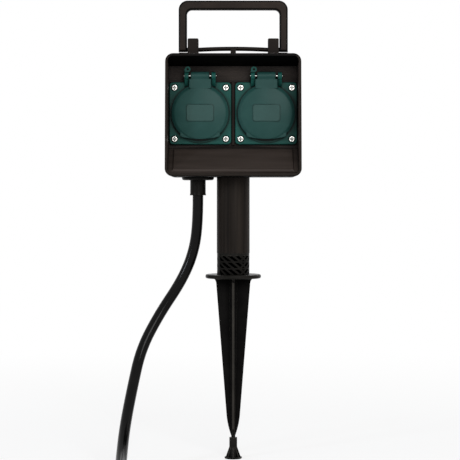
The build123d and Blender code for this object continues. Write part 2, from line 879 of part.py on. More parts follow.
def lid(centre):
    """Domed lid with a finger lip below and a hinge neck above."""
    body = facing_front(lid_dome(), centre, lid_back_y, socket_z)
    lip_foot_z = socket_z - lip_drop
    corner_z = lip_foot_z + lip_crown
    head_z = socket_z - lip_top_drop
    left, right = centre - lip_half_width, centre + lip_half_width
    sides = Polyline((right, corner_z), (right, head_z), (left, head_z), (left, corner_z))
    foot = ThreePointArc((left, corner_z), (centre, lip_foot_z), (right, corner_z))
    tab = make_face([*sides.edges(), *foot.edges()])
    tab = fillet(tab.vertices().group_by(Axis.Y)[0], lip_corner)
    tab -= Pos(centre, socket_z) * Circle(lid_hollow_radius)
    body += along_y(tab, lid_back_y - lip_thickness, lid_back_y)
    foot_radius = (lip_half_width**2 + lip_crown**2) / (2 * lip_crown)
    within = Pos(centre, lip_foot_z + foot_radius) * Circle(foot_radius)
    body &= along_y(within, lid_back_y - flange_size, lid_back_y + cut_overrun)

    neck_foot_z = socket_z + lid_hollow_radius + cut_overrun
    neck_head_z = hinge_z - neck_narrowing_drop
    neck_y = (lid_back_y - neck_thickness, lid_back_y)
    neck = slab(centred(centre, 2 * neck_half_width), neck_y, (neck_foot_z, neck_head_z))
    neck = fillet(neck.faces().sort_by(Axis.Y)[0].edges().filter_by(Axis.Z), neck_thickness / 4)
    knuckle_profile = Pos(hinge_y, hinge_z) * Circle(knuckle_radius)
    knuckle_profile += Polygon(
        (lid_back_y, neck_head_z - fit_gap),
        (lid_back_y, hinge_z),
        (hinge_y, hinge_z + knuckle_radius),
        (hinge_y - knuckle_radius, hinge_z),
        (lid_back_y - neck_thickness, neck_head_z - fit_gap),
        align=None,
    )
    half = knuckle_half_width
    knuckle = along_x(knuckle_profile, centre - half, centre + half)
    body += neck + knuckle
    bore = Pos(hinge_y, hinge_z) * Circle(hinge_pin_radius + fit_gap)
    body -= along_x(bore, centre - flange_size, centre + flange_size)
    pocket = Pos(hinge_y, hinge_z) * Circle(spring_pocket_radius)
    pocket += Pos(hinge_y + knuckle_radius, hinge_z) * Rectangle(
        2 * knuckle_radius, 4 * knuckle_radius
    )
    pocket_half = spring_pocket_half
    body -= along_x(pocket, centre - pocket_half, centre + pocket_half)
    groove = Pos(centre, socket_z) * (
        Circle(lid_seal_outer_radius + fit_gap) - Circle(lid_seal_inner_radius - fit_gap)
    )
    body -= along_y(groove, lid_back_y - lid_seal_depth, lid_back_y + cut_overrun)
    pad = Pos(centre, socket_z) * RectangleRounded(pad_width, pad_height, pad_corner)
    pad_floor_y = lid_back_y - lid_crown_depth + pad_depth
    return body - along_y(pad, lid_back_y - flange_size, pad_floor_y)


# Handle
def handle():
    """Closed loop: rounded U, two journals and a thin bowed tie bar."""
    height = handle_top_z - handle_foot_z
    inner_height = height - handle_bar
    outer = Pos(0, handle_top_z - height / 2) * Rectangle(handle_width, height)
    outer = fillet(outer.vertices().group_by(Axis.Y)[-1], handle_outer_corner)
    inner_width = handle_width - 2 * handle_leg
    inner = Pos(0, handle_foot_z + inner_height / 2) * Rectangle(inner_width, inner_height)
    inner = fillet(inner.vertices().group_by(Axis.Y)[-1], handle_inner_corner)
    loop = along_y(outer - inner, pivot_y - handle_depth / 2, pivot_y + handle_depth / 2)
    faces = loop.faces().sort_by(Axis.Y)
    loop = fillet(faces[0].edges() + faces[-1].edges(), handle_rounding)
    journal_in = lug_inner_x - free_gap
    journal_out = inner_width / 2 + handle_leg / 2
    for side in (-1, 1):
        journal = Pos(pivot_y, pivot_z) * Circle(journal_radius)
        loop += along_x(journal, *sorted((side * journal_in, side * journal_out)))
    bow = ThreePointArc(
        (-journal_in - fit_gap, pivot_y, pivot_z),
        (0, pivot_y, pivot_z + tie_bar_bow),
        (journal_in + fit_gap, pivot_y, pivot_z),
    )
    return loop + swept(bow, tie_bar_radius)


# Post tube
def post_tube():
    tube = along_z(Circle(tube_radius) - Circle(tube_bore_radius), tube_foot_z, box_bottom_z)
    for z in tube_screw_places():
        hole = Pos(0, z) * Circle(screw_radius + seat_gap)
        tube -= along_y(hole, 0, tube_radius + cut_overrun)
    return tube


def tube_screw_places():
    return [tube_foot_z + tube_screw_inset, box_bottom_z - tube_screw_inset]


def tube_screws():
    length = tube_radius - spigot_bore_radius
    return [facing_back(screw(length), 0, tube_radius, z) for z in tube_screw_places()]


# Ground spike
def lattice_rib_at(angle, lean, middle_z):
    """One slanted rib, long enough to reach past its row."""
    depth = lattice_radius
    bar = Box(depth, lattice_rib, 2 * lattice_row)
    place = Pos(lattice_core_bore + depth / 2, 0, middle_z)
    return Rot(Z=angle) * place * Rot(X=lean) * bar


def lattice():
    """Drum with three rows of pockets between slanted ribs, which cross where the slant turns."""
    foot_z = plate_thickness - fit_gap
    drum = along_z(Circle(lattice_radius) - Circle(lattice_core_bore), foot_z, tube_foot_z)
    band = Circle(lattice_radius + cut_overrun) - Circle(lattice_core_radius)
    for half in (0, 180):
        bar = Pos(lattice_core_bore + lattice_radius / 2, 0) * Rectangle(
            lattice_radius, lattice_post_width
        )
        band -= Rot(Z=lattice_post_angle - 90 + half) * bar
    step_angle = 180 / lattice_ribs
    for row in range(3):
        low = plate_thickness + row * (lattice_row + lattice_ring)
        middle_z = low + lattice_row / 2
        pockets = along_z(band, low if row else foot_z - cut_overrun, low + lattice_row)
        ribs = []
        for half in (0, 180):
            for n in range(lattice_ribs):
                steps = n - lattice_turn_rib
                angle = lattice_turn_angle + steps * step_angle - 90 + half
                if steps <= 0:
                    ribs.append(lattice_rib_at(angle, lattice_rib_lean, middle_z))
                if steps >= 0:
                    ribs.append(lattice_rib_at(angle, -lattice_rib_lean, middle_z))
        drum -= pockets - ribs
    return drum


def blade():
    """One flat two-edged blade, seen from the front."""
    shoulder = (blade_shoulder_half_width, blade_shoulder_z)
    end = (blade_end_half_width, blade_end_z)
    bulge_x = (shoulder[0] + end[0]) / 2 + blade_bulge
    bulge_z = (shoulder[1] + end[1]) / 2
    flare_x = blade_half_width + blade_flare
    flare = ThreePointArc(
        (flare_x, 0),
        (blade_half_width + blade_flare / 4, -blade_flare_height / 2),
        (blade_half_width, -blade_flare_height),
    )
    top = Polyline((0, fit_gap), (flare_x, fit_gap), (flare_x, 0))
    side = Line((blade_half_width, -blade_flare_height), shoulder)
    curve = ThreePointArc(shoulder, (bulge_x, bulge_z), end)
    close = Polyline(end, (0, blade_end_z), (0, fit_gap))
    half = make_face([e for line in (top, flare, side, curve, close) for e in line.edges()])
    outline = half + mirror(half, about=Plane.YZ)
    return along_y(outline, -blade_thickness / 2, blade_thickness / 2)


def ground_spike():
    plate = along_z(Circle(plate_radius), 0, plate_thickness)
    plate = fillet(plate.edges(), plate_rounding)
    spigot = Circle(spigot_radius) - Circle(spigot_bore_radius)
    spigot_foot_z = (lattice_top_z + tube_foot_z) / 2
    spike = lattice() + along_z(spigot, spigot_foot_z, spike_spigot_top_z) + plate
    spike += blade() + Rot(Z=90) * blade()
    core_height = -blade_end_z
    spike += Cone(
        blade_end_half_width,
        blade_core_radius,
        core_height,
        align=(Align.CENTER, Align.CENTER, Align.MAX),
    )
    tip_height = blade_end_z - tip_end_z
    tip = Cone(
        tip_end_radius,
        blade_end_half_width,
        tip_height,
        align=(Align.CENTER, Align.CENTER, Align.MAX),
    )
    spike += Pos(0, 0, blade_end_z) * tip
    pilot = Pos(0, tube_foot_z + tube_screw_inset) * Circle(screw_radius + fit_gap)
    return spike - along_y(pilot, 0, tube_radius)


def tip_cap():
    """Ribbed foot cap with a tapered bore for the spike's tip."""
    base_top_z = cap_bottom_z + cap_base_thickness
    base = along_z(Circle(cap_base_radius), cap_bottom_z, base_top_z)
    base = fillet(base.edges(), cap_base_thickness / 3)
    neck = along_z(Circle(cap_neck_radius), base_top_z - fit_gap, cap_top_z)
    flare = Pos(0, 0, base_top_z) * Cone(
        cap_core_radius,
        cap_neck_radius - fit_gap,
        cap_neck_z - base_top_z,
        align=(Align.CENTER, Align.CENTER, Align.MIN),
    )
    rib = Polygon(
        (0, base_top_z - fit_gap),
        (cap_skirt_radius, base_top_z - fit_gap),
        (cap_neck_radius, cap_neck_z),
        (0, cap_neck_z),
        align=None,
    )
    rib = along_y(rib, -cap_rib_width / 2, cap_rib_width / 2)
    cap = base + neck + flare
    cap += [Rot(Z=360 * n / cap_ribs) * rib for n in range(cap_ribs)]
    taper = (blade_end_half_width - tip_end_radius) / (blade_end_z - tip_end_z)
    mouth_radius = tip_end_radius + taper * (cap_top_z + cut_overrun - tip_end_z) + seat_gap
    bore = Pos(0, 0, tip_end_z - seat_gap) * Cone(
        tip_end_radius + seat_gap,
        mouth_radius,
        cap_top_z + cut_overrun - tip_end_z + seat_gap,
        align=(Align.CENTER, Align.CENTER, Align.MIN),
    )
    return cap - bore


# Gland and cord grip
def cable_gland():
    disc_foot_z = box_bottom_z - gland_disc_thickness
    place = Pos(gland_x, 0)
    disc = along_z(place * Circle(gland_disc_radius), disc_foot_z, box_bottom_z)
    disc = fillet(disc.edges().group_by(Axis.Z)[0], gland_disc_rounding)
    sleeve = along_z(place * Circle(gland_sleeve_radius), gland_sleeve_end_z, disc_foot_z + fit_gap)
    flare = Pos(gland_x, 0, gland_sleeve_end_z) * Cone(
        gland_sleeve_radius + gland_sleeve_flare,
        gland_sleeve_radius - fit_gap,
        gland_flare_height,
        align=(Align.CENTER, Align.CENTER, Align.MIN),
    )
    top_z = box_bottom_z + shell_wall + gland_neck_rise
    neck = along_z(place * Circle(gland_neck_radius), box_bottom_z - fit_gap, top_z)
    gland = disc + sleeve + flare + neck
    bore = place * Circle(cord_bore_radius)
    seat = place * Circle(gland_seal_radius + seat_gap)
    gland -= along_z(bore, gland_sleeve_end_z - cut_overrun, top_z + cut_overrun)
    return gland - along_z(seat, box_bottom_z, top_z + cut_overrun)


def gland_seal():
    ring = Pos(gland_x, 0) * (Circle(gland_seal_radius) - Circle(cord_bore_radius))
    return along_z(ring, box_bottom_z, box_bottom_z + shell_wall + gland_neck_rise - seat_gap)


def gland_nut():
    hexagon = RegularPolygon(locknut_width / 2, 6, major_radius=False)
    nut = Pos(gland_x, 0) * (hexagon - Circle(gland_neck_radius + seat_gap))
    foot_z = box_bottom_z + shell_wall
    return along_z(nut, foot_z, foot_z + locknut_height)


def cord_grip():
    """Clamping bar with a round notch for the cable."""
    reach = grip_post_spread + 2 * grip_post_radius
    bar = RectangleRounded(reach, grip_bar_height, grip_bar_height / 3)
    bar = along_y(Pos(gland_x, grip_z) * bar, seat_gap, grip_bar_depth + seat_gap)
    notch = Pos(gland_x, 0) * Circle(cord_bore_radius)
    bar -= along_z(notch, grip_z - grip_bar_height, grip_z + grip_bar_height)
    for side in (-1, 1):
        hole = Pos(gland_x + side * grip_post_spread / 2, grip_z) * Circle(screw_radius + seat_gap)
        bar -= along_y(hole, 0, grip_bar_depth + cut_overrun)
    return bar


def cord_grip_screws():
    seat_y = grip_bar_depth + seat_gap
    length = seat_y + grip_screw_reach - cut_overrun
    return [
        facing_back(screw(length), gland_x + side * grip_post_spread / 2, seat_y, grip_z)
        for side in (-1, 1)
    ]


# Wires
def wire_end(x, side):
    """Place just inside a terminal's wire hole, below (-1) or above (1) its middle."""
    y = pillar_back_y + terminal_length / 2
    return Vector(x, y, socket_z + side * terminal_size / 4)


def wires(offset_x, offset_y, contact_offset, bridge_rise):
    """Feed from the cable's end to the left socket, and bridge to the right one."""
    left, right = socket_centres[0] - contact_offset, socket_centres[1] + contact_offset
    below = wire_end(left, -1)
    start = Vector(gland_x + offset_x, offset_y, inlet_top_z)
    clear = Vector(0, 0, terminal_size)
    feed = [start, start + clear / 2, below - clear * 3, below]
    above_left, above_right = wire_end(left, 1), wire_end(right, 1)
    rise = Vector(0, 0, bridge_rise)
    bridge = [above_left, above_left + rise, above_right + rise, above_right]
    return [wire(feed), wire(bridge)]


def wire(points):
    path = FilletPolyline(*points, radius=terminal_size / 2)
    return swept(path, conductor_diameter / 2)


# Cord
def report_cord(name, tube, path):
    """Prints the cord's length and its volume over section times length."""
    ratio = tube.volume / (pi * cord_radius**2 * path.length)
    print(name, "length", round(path.length, 1), "volume ratio", round(ratio, 4))


def cord_inlet():
    return along_z(Pos(gland_x, 0) * Circle(cord_radius), gland_sleeve_end_z, inlet_top_z)


def cord_run():
    points = [Vector(*point) for point in cord_route]
    radii = bend_radii(points)
    path = FilletPolyline(*points, radius=radii)
    tube = swept(path, cord_radius)
    print("cord_run radii", [round(r, 1) for r in radii])
    report_cord("cord_run", tube, path)
    return tube


def coil_station(angle):
    """Point of the coil's line and its direction, at an angle in degrees from the start."""
    middle = coil_half_turns * 180 / 2
    away = angle - middle
    radius = coil_least_radius + coil_pitch * abs(away) / 360
    climb = min(max((away + 90) / 180, 0), 1)
    z = coil_floor_z + coil_layer_rise * climb**2 * (3 - 2 * climb)
    around = radians(180 + angle)
    point = Vector(
        coil_centre_x + radius * cos(around), coil_centre_y + radius * sin(around), z
    )
    outward = coil_pitch / (2 * pi) * ((away > 0) - (away < 0))
    upward = coil_layer_rise * 6 * climb * (1 - climb) / pi
    heading = Vector(
        outward * cos(around) - radius * sin(around),
        outward * sin(around) + radius * cos(around),
        upward,
    )
    return point, heading.normalized()


def biarc(start, leave, end, arrive):
    """Two arcs that join two points tangentially."""
    span = end - start
    along = span.dot(leave + arrive)
    spread = 2 * (1 - leave.dot(arrive))
    if spread < parallel_limit:
        reach = span.length**2 / (2 * along)
    else:
        reach = (sqrt(along**2 + spread * span.length**2) - along) / spread
    near, far = start + leave * reach, end - arrive * reach
    middle = (near + far) / 2
    return [
        Edge.make_tangent_arc(start, leave, middle),
        Edge.make_tangent_arc(middle, far - near, end),
    ]


def coil_path():
    """Straight lead in, four turns that spiral in, climb and spiral out, then the plug lead."""
    forward = Vector(0, -1, 0)
    first, _ = coil_station(0)
    last, _ = coil_station(coil_half_turns * 180)
    lead_in = first - forward * cord_diameter
    plug_end = Vector(coil_entry_x, plug_back_y, plug_axis_z)
    plug_lead_start = plug_end - forward * cord_diameter
    edges = [Edge.make_line(lead_in, first)]
    stations = [coil_station(quarter * 90) for quarter in range(2 * coil_half_turns + 1)]
    stations[0] = (first, forward)
    stations[-1] = (last, forward)
    for (start, leave), (end, arrive) in zip(stations, stations[1:]):
        edges += biarc(start, leave, end, arrive)
    edges += biarc(last, forward, plug_lead_start, forward)
    edges.append(Edge.make_line(plug_lead_start, plug_end))
    return Wire(edges)


def coil_self_gap(path):
    """Least distance between turns, on points, less the cord's diameter."""
    step = cord_radius
    count = ceil(path.length / step)
    points = [path @ (n / count) for n in range(count + 1)]
    skip = ceil(coil_least_radius / step)
    least = min(
        (points[a] - points[b]).length
        for a in range(len(points))
        for b in range(a + skip, len(points))
    )
    return least - cord_diameter


def cord_coil():
    path = coil_path()
    tube = swept(path, cord_radius)
    print("cord_coil least self-gap", round(coil_self_gap(path), 2))
    report_cord("cord_coil", tube, path)
    return tube


def cord_tie():
    """Strap round the bundle of turns, on the coil's right."""
    half_turn = coil_pitch / 2
    inner_x = coil_centre_x + coil_least_radius + half_turn - cord_radius
    outer_x = coil_centre_x + coil_outer_radius - half_turn + cord_radius
    low = coil_floor_z - cord_radius - tie_gap
    high = coil_floor_z + coil_layer_rise + cord_radius + tie_gap
    width, height = outer_x - inner_x + 2 * tie_gap + 2 * free_gap, high - low
    middle = Pos((inner_x + outer_x) / 2 - free_gap / 2, (low + high) / 2)
    strap = RectangleRounded(width + 2 * tie_thickness, height + 2 * tie_thickness, cord_radius / 2)
    strap -= RectangleRounded(width, height, cord_radius / 2 - tie_thickness)
    return along_y(middle * strap, *centred(coil_centre_y, tie_width))


# Plug
def plug_body():
    """Moulded round plug with a grip, a tapered relief and two side grooves."""
    grip_back = plug_relief_length
    nose_back = grip_back + plug_grip_length
    face = nose_back + plug_nose_length
    outline = Polyline(
        (0, 0),
        (cord_radius + plug_nose_rounding, 0),
        (plug_relief_radius, grip_back),
        (plug_shoulder_radius, grip_back),
        (plug_grip_radius, grip_back + plug_grip_length / 3),
        (plug_grip_radius, nose_back - plug_nose_rounding),
        (plug_radius, nose_back + plug_nose_rounding),
        (plug_radius, face),
        (0, face),
        (0, 0),
    )
    body = revolve(Plane.XZ * make_face(outline.edges()), Axis.Z)
    for side in (-1, 1):
        groove = slab(
            sorted((side * plug_radius * 2, side * (plug_radius - plug_groove_depth))),
            centred(0, plug_groove_width),
            (nose_back - plug_nose_rounding, face + cut_overrun),
        )
        strip = slab(
            centred(0, plug_strip_width + 2 * fit_gap),
            sorted((side * plug_radius * 2, side * (plug_radius - plug_strip_depth))),
            (face - plug_strip_length, face + cut_overrun),
        )
        body -= groove
        body -= strip
    return facing_front(body, coil_entry_x, plug_back_y, plug_axis_z)


def plug_pins():
    pins = []
    for side in (-1, 1):
        x = coil_entry_x + side * pin_pitch / 2
        place = Pos(x, plug_axis_z) * Circle(plug_pin_radius)
        pin = along_y(place, plug_face_y - plug_pin_length, plug_face_y)
        pins.append(fillet(pin.edges().group_by(Axis.Y)[0], plug_pin_rounding))
    return pins


def plug_earth_contacts():
    strips = []
    for side in (-1, 1):
        near = side * (plug_radius - plug_strip_depth + fit_gap)
        far = side * (plug_radius - 2 * seat_gap)
        low, high = sorted((plug_axis_z + near, plug_axis_z + far))
        y_range = (plug_face_y, plug_face_y + plug_strip_length - fit_gap)
        strips.append(slab(centred(coil_entry_x, plug_strip_width), y_range, (low, high)))
    return strips


def nodes():
    """Every sub-part by its name."""
    parts = {
        "front_shell": front_shell(),
        "rear_cover": rear_cover(),
        "housing_seal": housing_seal(),
        "housing_screws": housing_screws(),
        "post_tube": post_tube(),
        "tube_screws": tube_screws(),
        "ground_spike": ground_spike(),
        "tip_cap": tip_cap(),
        "handle": handle(),
        "cable_gland": cable_gland(),
        "gland_seal": gland_seal(),
        "gland_nut": gland_nut(),
        "cord_grip": cord_grip(),
        "cord_grip_screws": cord_grip_screws(),
        "cord_inlet": cord_inlet(),
        "cord_run": cord_run(),
        "cord_coil": cord_coil(),
        "cord_tie": cord_tie(),
        "plug_body": plug_body(),
        "plug_pins": plug_pins(),
        "plug_earth_contacts": plug_earth_contacts(),
    }
    core_gap = conductor_diameter * conductor_spread_share
    parts["line_wires"] = wires(-core_gap, 0, pin_pitch / 2, 3 * bridge_step)
    parts["neutral_wires"] = wires(core_gap, 0, -pin_pitch / 2, bridge_step)
    parts["earth_wires"] = wires(0, core_gap, 0, 2 * bridge_step)
    for side, centre in zip(("left", "right"), socket_centres):
        parts[f"{side}_socket_frame"] = socket_frame(centre)
        parts[f"{side}_socket_core"] = socket_core(centre)
        parts[f"{side}_flange_seal"] = flange_seal(centre)
        parts[f"{side}_flange_screws"] = flange_screws(centre)
        parts[f"{side}_line_contacts"] = line_contacts(centre)
        parts[f"{side}_earth_bracket"] = earth_bracket(centre)
        parts[f"{side}_hinge_pin"] = hinge_pin(centre)
        parts[f"{side}_lid_spring"] = lid_spring(centre)
        parts[f"{side}_lid"] = lid(centre)
        parts[f"{side}_lid_seal"] = lid_seal(centre)
    return parts


def write(name, piece):
    """One STEP file per node: one solid, or a group of separate solids."""
    if isinstance(piece, list):
        piece = Compound(children=[solid for part in piece for solid in part.solids()])
    export_step(piece, f"parts/{name}.step")


def main():
    os.makedirs("parts", exist_ok=True)
    for name, piece in nodes().items():
        write(name, piece)


main()
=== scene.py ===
"""Garden socket post: finishes, the mains cable, small moulded detail, light and camera."""

from math import cos, hypot, pi, radians, sin

import bmesh
import bpy
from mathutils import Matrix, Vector


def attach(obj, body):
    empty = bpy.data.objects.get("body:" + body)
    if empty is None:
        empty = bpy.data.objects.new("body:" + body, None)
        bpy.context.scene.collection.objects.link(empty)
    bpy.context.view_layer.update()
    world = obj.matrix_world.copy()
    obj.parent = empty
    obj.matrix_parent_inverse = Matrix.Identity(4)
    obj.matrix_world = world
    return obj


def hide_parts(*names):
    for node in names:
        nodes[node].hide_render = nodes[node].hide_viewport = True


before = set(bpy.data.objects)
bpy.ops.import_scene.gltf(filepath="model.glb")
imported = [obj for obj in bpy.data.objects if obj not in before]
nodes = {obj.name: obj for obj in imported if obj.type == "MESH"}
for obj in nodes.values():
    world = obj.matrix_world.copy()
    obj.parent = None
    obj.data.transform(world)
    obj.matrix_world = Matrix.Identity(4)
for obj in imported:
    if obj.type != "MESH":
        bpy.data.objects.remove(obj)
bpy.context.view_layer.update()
scene = bpy.context.scene
mm = 0.001
floor_z = -146.0 * mm
# Centres of the two sockets as seen from the front, in mm
socket_x = 26.55
socket_z = 133.0
sockets = (("left", -socket_x), ("right", socket_x))
# The sockets of a Mix node that hold colours
mix_first, mix_second, mix_result = 6, 7, 2


def linear(text):
    """Linear RGBA of an sRGB hex colour such as #2a2622."""
    channels = [int(text[n : n + 2], 16) / 255 for n in (1, 3, 5)]
    return [c / 12.92 if c <= 0.04045 else ((c + 0.055) / 1.055) ** 2.4 for c in channels] + [1.0]


def add(tree, kind, inputs=None, **settings):
    """Adds a node, sets its properties, and fills or links its inputs."""
    made = tree.nodes.new(kind)
    for name, value in settings.items():
        setattr(made, name, value)
    for key, value in (inputs or {}).items():
        if isinstance(value, bpy.types.NodeSocket):
            tree.links.new(value, made.inputs[key])
        else:
            made.inputs[key].default_value = value
    return made


def per_mm(size):
    """Texture scale, in cycles a metre, that draws a feature of that many millimetres."""
    return 1.0 / (size * mm)


def metres(place):
    return [c * mm for c in place]


# Finishes
recess_reach = 14.0
crease_reach = 1.8
metal_recess_reach = 1.5
metal_cloud_size = 1.6
metal_relief = 0.02
# How far the roughness strays from its middle value where the surface is glossier and duller
gloss_gain = 0.06
plastic_gloss_loss = 0.07
metal_gloss_loss = 0.08


def recessed(tree, colour, reach, shade, closed=0.15):
    """Paints shade into a colour: darkens it towards black in wide recesses, and again in fine creases.

    Where a recess shows less open sky than closed, it keeps only the share of its colour that shade
    says. A shade below zero brings the black in sooner.
    """
    wide = add(tree, "ShaderNodeAmbientOcclusion", {"Distance": reach * mm}, samples=8)
    fine = add(tree, "ShaderNodeAmbientOcclusion", {"Distance": crease_reach * mm}, samples=6)
    depth = add(
        tree,
        "ShaderNodeMapRange",
        {"Value": wide.outputs["AO"], "From Min": closed, "From Max": 0.8, "To Min": shade},
    )
    crease = add(
        tree,
        "ShaderNodeMapRange",
        {"Value": fine.outputs["AO"], "From Min": 0.42, "From Max": 0.88, "To Min": 0.08},
    )
    both = add(
        tree, "ShaderNodeMath", {0: depth.outputs[0], 1: crease.outputs[0]}, operation="MULTIPLY"
    )
    return add(
        tree,
        "ShaderNodeMix",
        {"Factor": both.outputs[0], mix_first: linear("#020202"), mix_second: colour},
        data_type="RGBA",
    ).outputs[mix_result]


def moulded(
    name,
    dark,
    light,
    roughness,
    specular,
    grain,
    relief,
    edge=None,
    stretch=(1, 1, 1),
    shade=0.35,
    soft_edge=0.45,
    cloud_size=18,
):
    """Moulded plastic or rubber: cloudy pigment, a fine eroded grain, edges painted in an edge colour (a
    paler one is a painted highlight, a darker one painted shade), and painted shade in crevices.
    """
    material = bpy.data.materials.new(name)
    material.use_nodes = True
    tree = material.node_tree
    surface = tree.nodes["Principled BSDF"]
    place = add(tree, "ShaderNodeTexCoord").outputs["Object"]
    drawn = add(tree, "ShaderNodeMapping", {"Vector": place, "Scale": stretch}).outputs[0]
    cloud = add(
        tree,
        "ShaderNodeTexNoise",
        {"Vector": drawn, "Scale": per_mm(cloud_size), "Detail": 3.0, "Roughness": 0.6},
    )
    spread = add(
        tree, "ShaderNodeMapRange", {"Value": cloud.outputs["Fac"], "From Min": 0.32, "From Max": 0.68}
    )
    pigment = add(
        tree,
        "ShaderNodeMix",
        {"Factor": spread.outputs[0], mix_first: linear(dark), mix_second: linear(light)},
        data_type="RGBA",
    )
    eroded = add(
        tree,
        "ShaderNodeTexNoise",
        {"Vector": drawn, "Scale": per_mm(grain), "Detail": 2.0, "Roughness": 0.55},
    )
    bump = add(
        tree,
        "ShaderNodeBump",
        {"Strength": 0.5, "Distance": relief * mm, "Height": eroded.outputs["Fac"]},
    )
    sheen = add(
        tree,
        "ShaderNodeMapRange",
        {
            "Value": cloud.outputs["Fac"],
            "To Min": roughness - gloss_gain,
            "To Max": roughness + plastic_gloss_loss,
        },
    )
    tree.links.new(sheen.outputs[0], surface.inputs["Roughness"])
    surface.inputs["Specular IOR Level"].default_value = specular
    if edge:
        # The rounded normal and the flat one part at an edge, and the more they do, the more of the edge
        # colour is painted there: a paler one is a painted highlight, a darker one painted shade
        soft = add(tree, "ShaderNodeBevel", {"Radius": soft_edge * mm}, samples=4)
        flat = add(tree, "ShaderNodeNewGeometry").outputs["Normal"]
        turn = add(
            tree, "ShaderNodeVectorMath", {0: soft.outputs[0], 1: flat}, operation="DOT_PRODUCT"
        )
        painted_edge = add(
            tree,
            "ShaderNodeMapRange",
            {"Value": turn.outputs["Value"], "From Min": 0.99, "From Max": 0.82, "To Max": 0.75},
        )
        pigment = add(
            tree,
            "ShaderNodeMix",
            {
                "Factor": painted_edge.outputs[0],
                mix_first: pigment.outputs[mix_result],
                mix_second: linear(edge),
            },
            data_type="RGBA",
        )
        tree.links.new(soft.outputs[0], bump.inputs["Normal"])
    # Painted shade darkens the colour in recesses and creases
    shaded = recessed(tree, pigment.outputs[mix_result], recess_reach, shade)
    tree.links.new(shaded, surface.inputs["Base Color"])
    tree.links.new(bump.outputs[0], surface.inputs["Normal"])
    return material


def metal(name, colour, tint, roughness, grain):
    """Plated or drawn metal: a bright skin with faint clouding and drawing marks, and painted shade in
    small recesses.
    """
    material = bpy.data.materials.new(name)
    material.use_nodes = True
    tree = material.node_tree
    surface = tree.nodes["Principled BSDF"]
    place = add(tree, "ShaderNodeTexCoord").outputs["Object"]
    cloud = add(
        tree,
        "ShaderNodeTexNoise",
        {"Vector": place, "Scale": per_mm(metal_cloud_size), "Detail": 3.0},
    )
    skin = add(
        tree,
        "ShaderNodeMix",
        {"Factor": cloud.outputs["Fac"], mix_first: linear(colour), mix_second: linear(tint)},
        data_type="RGBA",
    )
    marks = add(
        tree, "ShaderNodeTexNoise", {"Vector": place, "Scale": per_mm(grain), "Detail": 2.0}
    )
    bump = add(
        tree,
        "ShaderNodeBump",
        {"Strength": 0.3, "Distance": metal_relief * mm, "Height": marks.outputs["Fac"]},
    )
    rough = add(
        tree,
        "ShaderNodeMapRange",
        {
            "Value": marks.outputs["Fac"],
            "To Min": roughness - gloss_gain,
            "To Max": roughness + metal_gloss_loss,
        },
    )
    # Painted shade: the skin goes nearly black in small recesses such as the crosses of the screw heads
    shaded = recessed(
        tree, skin.outputs[mix_result], metal_recess_reach, shade=0.02, closed=0.5
    )
    tree.links.new(shaded, surface.inputs["Base Color"])
    tree.links.new(rough.outputs[0], surface.inputs["Roughness"])
    tree.links.new(bump.outputs[0], surface.inputs["Normal"])
    surface.inputs["Metallic"].default_value = 1.0
    return material


# Warm near-black ABS from an eroded mould: satin, brownish where light rakes it.
# Real mould grain is about 0.1 mm. All grain here is drawn at 0.5 to 1.2 mm, so that it shows at all.
housing = moulded(
    "housing_abs_eroded",
    "#1e1916",
    "#231e1a",
    roughness=0.48,
    specular=0.05,
    grain=0.7,
    relief=0.05,
    edge="#3c3530",
)
# The well floor and the sill come from a smoother part of the mould and look browner. Their paler colour
# is partly painted light, standing in for the light they catch. They carry faint level streaks from the
# flow of the melt.
well_plastic = moulded(
    "housing_abs_smooth",
    "#28221e",
    "#3e3632",
    roughness=0.46,
    specular=0.08,
    grain=0.9,
    relief=0.03,
    edge="#4a4039",
    stretch=(0.1, 1, 1),
)
# The hood's roof and the underside of the box see no light and look matt black.
roof_plastic = moulded(
    "housing_abs_roof", "#040404", "#070706", roughness=0.6, specular=0.04, grain=0.7, relief=0.05
)
# The rim over the hood's opening is out of the light too, but less so.
brow_plastic = moulded(
    "housing_abs_brow", "#0b0a09", "#110f0e", roughness=0.5, specular=0.04, grain=0.7, relief=0.05
)
# The post tube is extruded PVC, so its clouding is drawn out into upright bands.
tube_plastic = moulded(
    "tube_pvc_extruded",
    "#120f0d",
    "#28231f",
    roughness=0.42,
    specular=0.04,
    grain=0.5,
    relief=0.05,
    edge="#322d29",
    stretch=(1, 1, 0.03),
    cloud_size=5,
)
# The ground spike is a cheaper polypropylene moulding: darker, smoother, slightly waxy. Strong painted
# shade blackens it in its recesses, and its pale edge colour paints a highlight along its edges.
spike_plastic = moulded(
    "spike_polypropylene",
    "#161513",
    "#201e1c",
    roughness=0.34,
    specular=0.035,
    grain=1.1,
    relief=0.05,
    edge="#6a6660",
    shade=-0.8,
)
# The outer edges of its blades are painted paler: a painted highlight.
blade_highlight_plastic = moulded(
    "spike_polypropylene_painted_highlight",
    "#292724",
    "#35322e",
    roughness=0.42,
    specular=0.05,
    grain=1.1,
    relief=0.05,
)
# The pockets of its lattice collar see next to no light.
pocket_plastic = moulded(
    "spike_polypropylene_pockets",
    "#020202",
    "#040404",
    roughness=0.6,
    specular=0.02,
    grain=1.1,
    relief=0.05,
)
# The collar's ribs are painted near-black along their edges as shade, so that only their middles catch
# the light.
rib_plastic = moulded(
    "spike_polypropylene_ribs",
    "#12110f",
    "#1c1a18",
    roughness=0.36,
    specular=0.03,
    grain=1.1,
    relief=0.05,
    edge="#010101",
    shade=0.9,
    soft_edge=0.75,
)
# The blades are matt and darker than the plate above them. Strong painted shade darkens them where they
# meet, and their pale edge colour paints a highlight along their edges.
blade_plastic = moulded(
    "spike_polypropylene_blades",
    "#0b0a0a",
    "#141312",
    roughness=0.44,
    specular=0.015,
    grain=1.1,
    relief=0.05,
    edge="#55514c",
    shade=-0.4,
)
